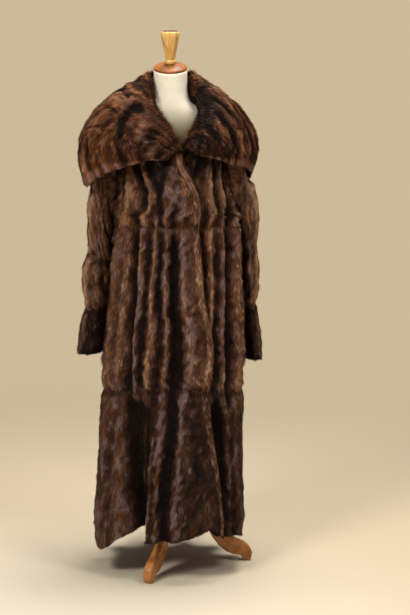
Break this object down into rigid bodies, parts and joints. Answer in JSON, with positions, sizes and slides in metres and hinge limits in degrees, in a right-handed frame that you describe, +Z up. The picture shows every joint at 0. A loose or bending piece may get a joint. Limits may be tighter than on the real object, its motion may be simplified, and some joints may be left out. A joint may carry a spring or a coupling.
{
  "type": "fur coat on dress form",
  "caption": "Full-length fur coat with a wide cape collar and gathered skirt tiers, worn closed by a limbless dress form on a curved-leg wooden stand.",
  "frame": {"origin": "centre of the whole object's box on the floor", "axes": "+Z up, the coat's front towards -Y, +X towards the wearer's left sleeve"},
  "size_m": [0.592, 0.4792, 1.6835],
  "materials": {
    "fur_brown": "glossy dark brown fur in upright pelt stripes",
    "fur_dark": "glossy darker brown fur in fine upright stripes",
    "linen": "plain cream cover, matt",
    "cap_wood": "varnished orange-brown wood",
    "finial_wood": "varnished honey-coloured turned wood",
    "leg_wood": "varnished orange-brown wood"
  },
  "bodies": {
    "root": {"bodice_right_front": "fur_brown", "bodice_left_front": "fur_brown", "bodice_back": "fur_brown", "upper_skirt_right_front": "fur_brown", "upper_skirt_left_front": "fur_brown", "upper_skirt_back": "fur_brown", "lower_skirt_right_front": "fur_dark", "lower_skirt_left_front": "fur_dark", "lower_skirt_back": "fur_dark", "front_band": "fur_brown", "sleeve_right_head": "fur_brown", "sleeve_right_elbow": "fur_brown", "sleeve_right_cuff": "fur_dark", "sleeve_left_head": "fur_brown", "sleeve_left_elbow": "fur_brown", "sleeve_left_cuff": "fur_dark", "collar_right": "fur_brown", "collar_left": "fur_brown", "form_torso": "linen", "neck_cap": "cap_wood", "finial": "finial_wood", "form_pole": "leg_wood", "leg_hub": "leg_wood", "leg_front": "leg_wood", "leg_side": "leg_wood", "leg_back": "leg_wood"}
  },
  "joints": []
}
